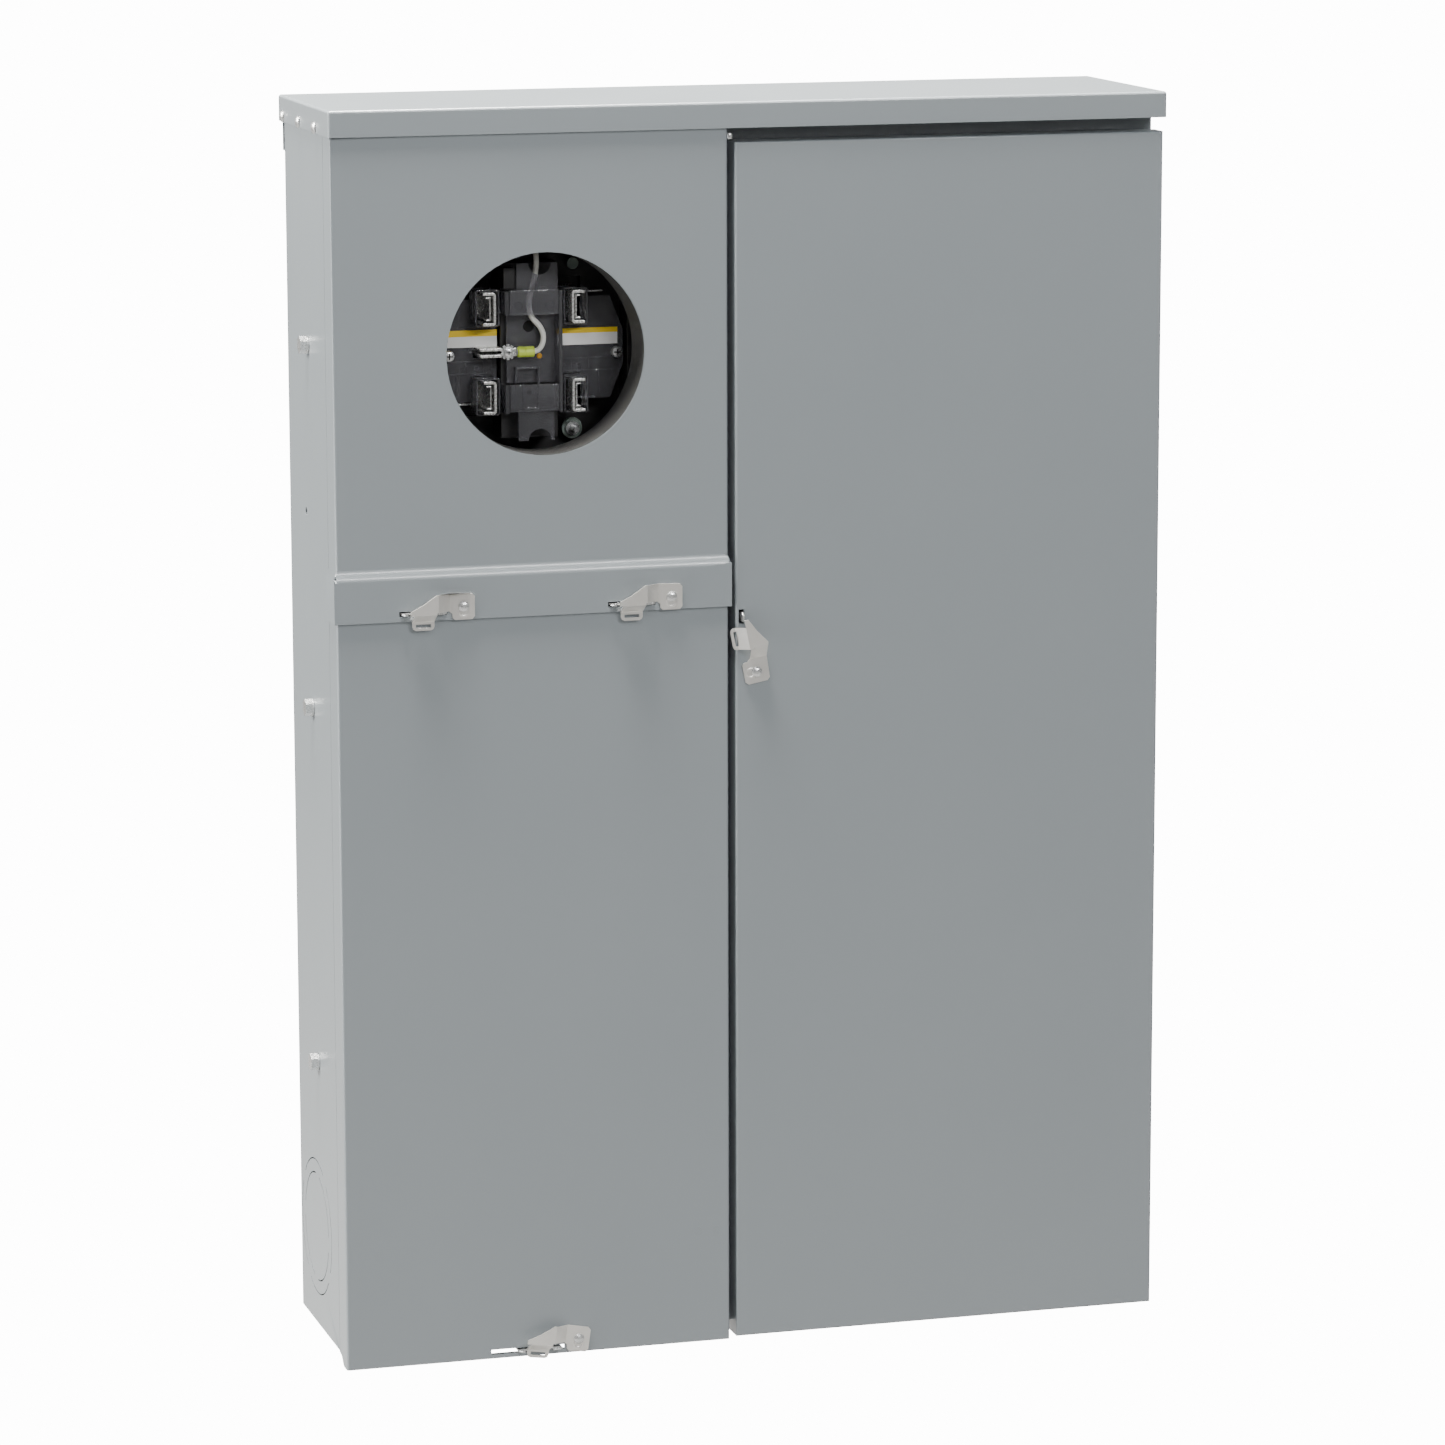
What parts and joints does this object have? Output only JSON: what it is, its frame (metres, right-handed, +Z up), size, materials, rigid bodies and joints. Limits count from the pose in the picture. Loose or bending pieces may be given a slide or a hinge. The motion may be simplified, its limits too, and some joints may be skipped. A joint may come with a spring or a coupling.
{
  "type": "meter socket enclosure",
  "caption": "Wall-mounted steel meter socket enclosure: round meter opening over a latched pull cover, a full-height hinged door over a breaker section, and an overhanging rain cap.",
  "frame": {"origin": "centre of the wall face of the top hanger rail, high on the back, where the enclosure hangs on its wall", "axes": "+Z up, +Y into the wall, -Y out of the front, +X to the right as seen from the front"},
  "size_m": [0.7159, 0.206, 1.0396],
  "materials": {
    "paint": "smooth semi-gloss grey powder coat",
    "latch_steel": "bright stamped stainless steel",
    "zinc_steel": "bright zinc plate",
    "tinned_metal": "tin-plated contact metal",
    "black_plastic": "black moulded phenolic",
    "smoked_plastic": "smoked glossy moulding",
    "wire_insulation": "white wire insulation"
  },
  "bodies": {
    "housing": {"box_shell": "paint", "top_cap": "paint", "section_divider": "paint", "cross_rail": "paint", "hanger_rail_top": "paint", "hanger_rail_bottom": "paint", "cap_rivet_left_1": "zinc_steel", "cap_rivet_left_2": "zinc_steel", "cap_rivet_left_3": "zinc_steel", "cap_rivet_right_1": "zinc_steel", "cap_rivet_right_2": "zinc_steel", "cap_rivet_right_3": "zinc_steel", "side_bolt_1": "zinc_steel", "side_bolt_2": "zinc_steel", "side_bolt_3": "zinc_steel", "meter_staple_1": "zinc_steel", "meter_staple_2": "zinc_steel", "pull_staple": "zinc_steel", "door_staple": "zinc_steel", "hinge_box_leaf_1": "paint", "hinge_box_leaf_2": "paint", "hinge_box_leaf_3": "paint", "socket_bracket": "zinc_steel", "socket_base": "black_plastic", "socket_column": "smoked_plastic", "socket_shield_left": "smoked_plastic", "socket_shield_right": "smoked_plastic", "jaw_upper_left": "tinned_metal", "jaw_upper_right": "tinned_metal", "jaw_lower_left": "tinned_metal", "jaw_lower_right": "tinned_metal", "jaw_fifth": "tinned_metal", "bond_terminal": "tinned_metal", "bond_wire": "wire_insulation", "line_lug_left": "tinned_metal", "line_lug_right": "tinned_metal", "interior_pan": "paint", "bus_bar_left": "tinned_metal", "bus_bar_right": "tinned_metal", "neutral_bar_left": "tinned_metal", "neutral_bar_right": "tinned_metal", "main_breaker": "black_plastic", "deadfront": "paint", "deadfront_screw_1": "zinc_steel", "deadfront_screw_2": "zinc_steel"},
    "meter_cover": {"meter_cover": "paint", "meter_latch_left_rivet": "zinc_steel", "meter_latch_right_rivet": "zinc_steel"},
    "pull_cover": {"pull_cover": "paint", "pull_latch_rivet": "zinc_steel"},
    "door": {"door": "paint", "door_latch_rivet": "zinc_steel", "hinge_door_leaf_1": "paint", "hinge_door_leaf_2": "paint", "hinge_door_leaf_3": "paint"},
    "meter_latch_left": {"meter_latch_left": "latch_steel"},
    "meter_latch_right": {"meter_latch_right": "latch_steel"},
    "pull_latch": {"pull_latch": "latch_steel"},
    "door_latch": {"door_latch": "latch_steel"},
    "breaker_handle": {"main_breaker_handle": "black_plastic"}
  },
  "joints": [
    {"name": "meter_cover_tilt", "type": "hinge", "parent": "housing", "child": "meter_cover", "pos_m": [-0.1762, -0.19, 0.0126], "axis": [-1, 0, 0], "range_deg": [0, 35]},
    {"name": "pull_cover_tilt", "type": "hinge", "parent": "housing", "child": "pull_cover", "pos_m": [-0.1877, -0.19, -0.3789], "axis": [-1, 0, 0], "range_deg": [0, 25]},
    {"name": "door_hinge", "type": "hinge", "parent": "housing", "child": "door", "pos_m": [0.3455, -0.1705, -0.5003], "axis": [0, 0, 1], "range_deg": [0, 100]},
    {"name": "meter_latch_left_swing", "type": "hinge", "parent": "meter_cover", "child": "meter_latch_left", "pos_m": [-0.2476, -0.193, -0.3679], "axis": [0, 1, 0], "range_deg": [0, 100]},
    {"name": "meter_latch_right_swing", "type": "hinge", "parent": "meter_cover", "child": "meter_latch_right", "pos_m": [-0.0731, -0.193, -0.3679], "axis": [0, 1, 0], "range_deg": [0, 100]},
    {"name": "pull_latch_swing", "type": "hinge", "parent": "pull_cover", "child": "pull_latch", "pos_m": [-0.1549, -0.19, -0.9912], "axis": [0, 1, 0], "range_deg": [0, 100]},
    {"name": "door_latch_swing", "type": "hinge", "parent": "door", "child": "door_latch", "pos_m": [0.0002, -0.19, -0.4346], "axis": [0, 1, 0], "range_deg": [0, 100]},
    {"name": "breaker_handle_toggle", "type": "hinge", "parent": "housing", "child": "breaker_handle", "pos_m": [0.16585, -0.14, -0.1779], "axis": [1, 0, 0], "range_deg": [0, 35]}
  ]
}
